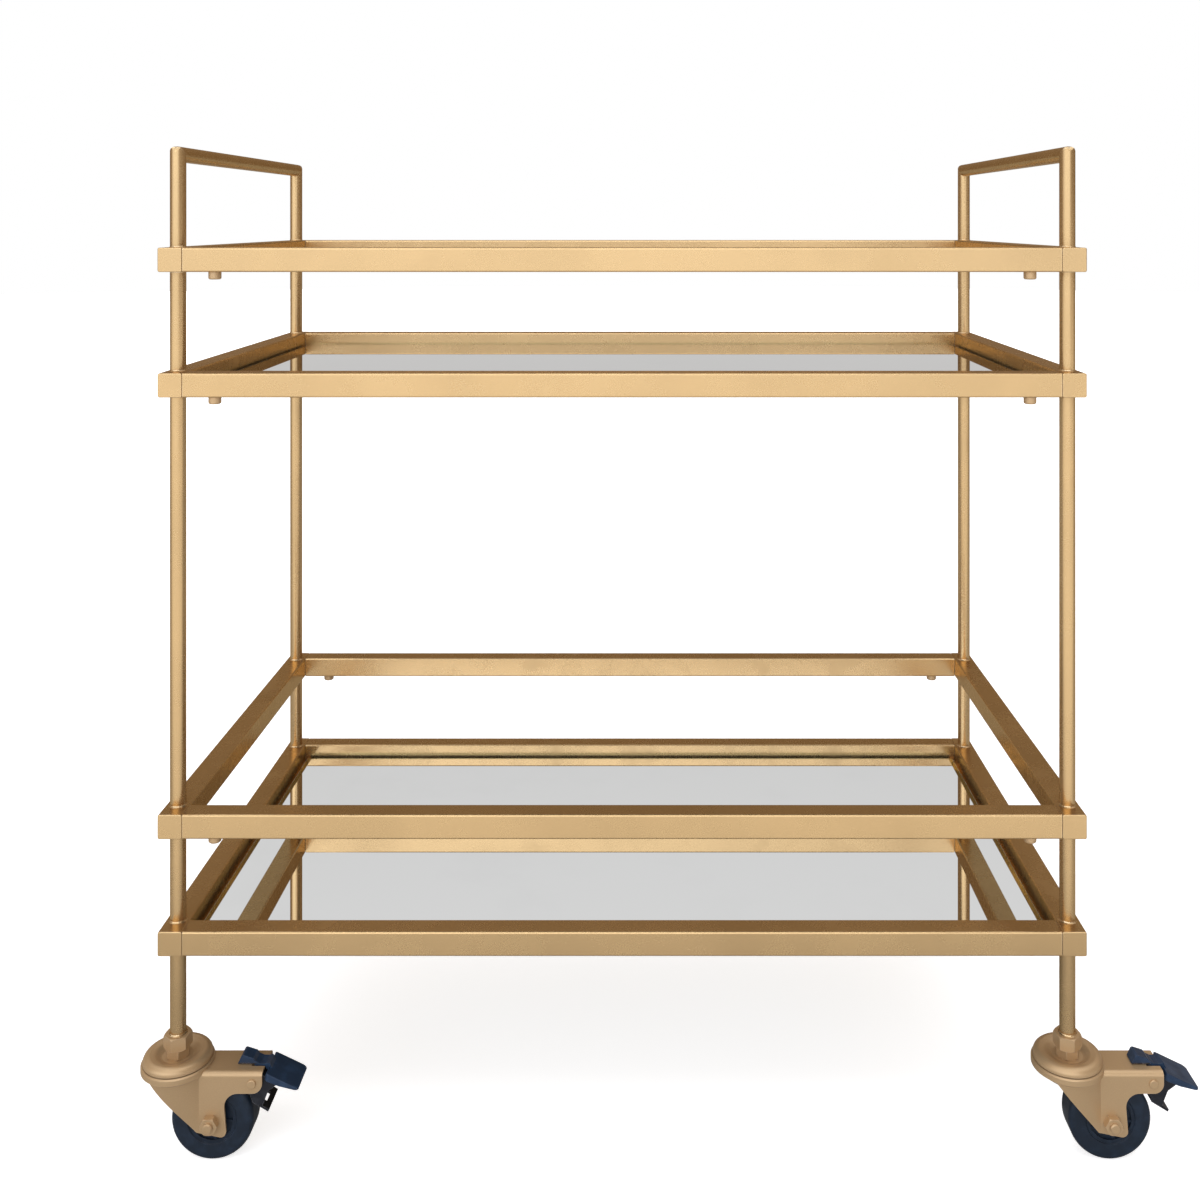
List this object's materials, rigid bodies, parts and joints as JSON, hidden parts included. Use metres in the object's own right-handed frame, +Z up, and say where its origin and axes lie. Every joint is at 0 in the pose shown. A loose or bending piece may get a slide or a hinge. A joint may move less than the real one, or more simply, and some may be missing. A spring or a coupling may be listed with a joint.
{
  "type": "bar cart",
  "caption": "Gold metal bar cart with an upper and a lower mirrored shelf, guard rails, end push bars and swivel casters, some with a pedal brake.",
  "frame": {"origin": "on the floor under the middle of the frame", "axes": "+Z up, +X along the long side, the long front side faces -Y"},
  "size_m": [0.9123, 0.425, 0.838],
  "materials": {
    "gold_paint": "semi-gloss metallic",
    "gold_hardware": "semi-gloss metallic",
    "zinc_steel": "zinc plated",
    "bearing_steel": "polished",
    "dark_steel": "blackened",
    "mirror_glass": "polished",
    "clear_rubber": "soft matte",
    "navy_hub": "satin",
    "navy_tyre": "matte",
    "navy_pedal": "fine texture"
  },
  "bodies": {
    "cart_frame": {"left_upper_guard_side_rail": "gold_paint", "right_upper_guard_side_rail": "gold_paint", "front_upper_guard_long_rail": "gold_paint", "rear_upper_guard_long_rail": "gold_paint", "left_upper_shelf_side_rail": "gold_paint", "right_upper_shelf_side_rail": "gold_paint", "front_upper_shelf_long_rail": "gold_paint", "rear_upper_shelf_long_rail": "gold_paint", "left_lower_guard_side_rail": "gold_paint", "right_lower_guard_side_rail": "gold_paint", "front_lower_guard_long_rail": "gold_paint", "rear_lower_guard_long_rail": "gold_paint", "left_lower_shelf_side_rail": "gold_paint", "right_lower_shelf_side_rail": "gold_paint", "front_lower_shelf_long_rail": "gold_paint", "rear_lower_shelf_long_rail": "gold_paint", "front_left_post": "gold_paint", "front_right_post": "gold_paint", "rear_left_post": "gold_paint", "rear_right_post": "gold_paint", "left_handle_bar": "gold_paint", "right_handle_bar": "gold_paint", "side_rail_end_plates": "gold_paint", "rail_joining_inserts": "zinc_steel", "rail_joint_screws": "gold_hardware", "upper_shelf_mirror_pane": "mirror_glass", "lower_shelf_mirror_pane": "mirror_glass", "shelf_support_ledges": "gold_paint", "shelf_pads": "clear_rubber", "post_end_nuts": "gold_hardware", "caster_stems": "gold_hardware", "swivel_caps": "gold_hardware", "swivel_bearing_balls": "bearing_steel"},
    "front_left_caster": {"front_left_caster_fork": "gold_hardware", "front_left_axle_bolt_and_nut": "gold_hardware", "front_left_axle_sleeve": "zinc_steel", "front_left_brake_pivot_pin": "gold_hardware"},
    "front_left_wheel": {"front_left_wheel_hub": "navy_hub", "front_left_tyre": "navy_tyre"},
    "front_left_brake": {"front_left_brake_lever": "dark_steel", "front_left_brake_pedal": "navy_pedal"},
    "front_right_caster": {"front_right_caster_fork": "gold_hardware", "front_right_axle_bolt_and_nut": "gold_hardware", "front_right_axle_sleeve": "zinc_steel", "front_right_brake_pivot_pin": "gold_hardware"},
    "front_right_wheel": {"front_right_wheel_hub": "navy_hub", "front_right_tyre": "navy_tyre"},
    "front_right_brake": {"front_right_brake_lever": "dark_steel", "front_right_brake_pedal": "navy_pedal"},
    "rear_left_caster": {"rear_left_caster_fork": "gold_hardware", "rear_left_axle_bolt_and_nut": "gold_hardware", "rear_left_axle_sleeve": "zinc_steel"},
    "rear_left_wheel": {"rear_left_wheel_hub": "navy_hub", "rear_left_tyre": "navy_tyre"},
    "rear_right_caster": {"rear_right_caster_fork": "gold_hardware", "rear_right_axle_bolt_and_nut": "gold_hardware", "rear_right_axle_sleeve": "zinc_steel"},
    "rear_right_wheel": {"rear_right_wheel_hub": "navy_hub", "rear_right_tyre": "navy_tyre"}
  },
  "joints": [
    {"name": "front_left_swivel", "type": "hinge", "parent": "cart_frame", "child": "front_left_caster", "pos_m": [-0.371, -0.183, 0.078], "axis": [0, 0, 1], "continuous": true},
    {"name": "front_left_wheel_roll", "type": "hinge", "parent": "front_left_caster", "child": "front_left_wheel", "pos_m": [-0.339, -0.183, 0.034], "axis": [0, 1, 0], "continuous": true},
    {"name": "front_left_brake_press", "type": "hinge", "parent": "front_left_caster", "child": "front_left_brake", "pos_m": [-0.305, -0.183, 0.066], "axis": [0, 1, 0], "range_deg": [0, 10]},
    {"name": "front_right_swivel", "type": "hinge", "parent": "cart_frame", "child": "front_right_caster", "pos_m": [0.371, -0.183, 0.078], "axis": [0, 0, 1], "continuous": true},
    {"name": "front_right_wheel_roll", "type": "hinge", "parent": "front_right_caster", "child": "front_right_wheel", "pos_m": [0.403, -0.183, 0.034], "axis": [0, 1, 0], "continuous": true},
    {"name": "front_right_brake_press", "type": "hinge", "parent": "front_right_caster", "child": "front_right_brake", "pos_m": [0.437, -0.183, 0.066], "axis": [0, 1, 0], "range_deg": [0, 10]},
    {"name": "rear_left_swivel", "type": "hinge", "parent": "cart_frame", "child": "rear_left_caster", "pos_m": [-0.371, 0.183, 0.078], "axis": [0, 0, 1], "continuous": true},
    {"name": "rear_left_wheel_roll", "type": "hinge", "parent": "rear_left_caster", "child": "rear_left_wheel", "pos_m": [-0.403, 0.183, 0.034], "axis": [0, 1, 0], "continuous": true},
    {"name": "rear_right_swivel", "type": "hinge", "parent": "cart_frame", "child": "rear_right_caster", "pos_m": [0.371, 0.183, 0.078], "axis": [0, 0, 1], "continuous": true},
    {"name": "rear_right_wheel_roll", "type": "hinge", "parent": "rear_right_caster", "child": "rear_right_wheel", "pos_m": [0.403, 0.183, 0.034], "axis": [0, 1, 0], "continuous": true}
  ]
}
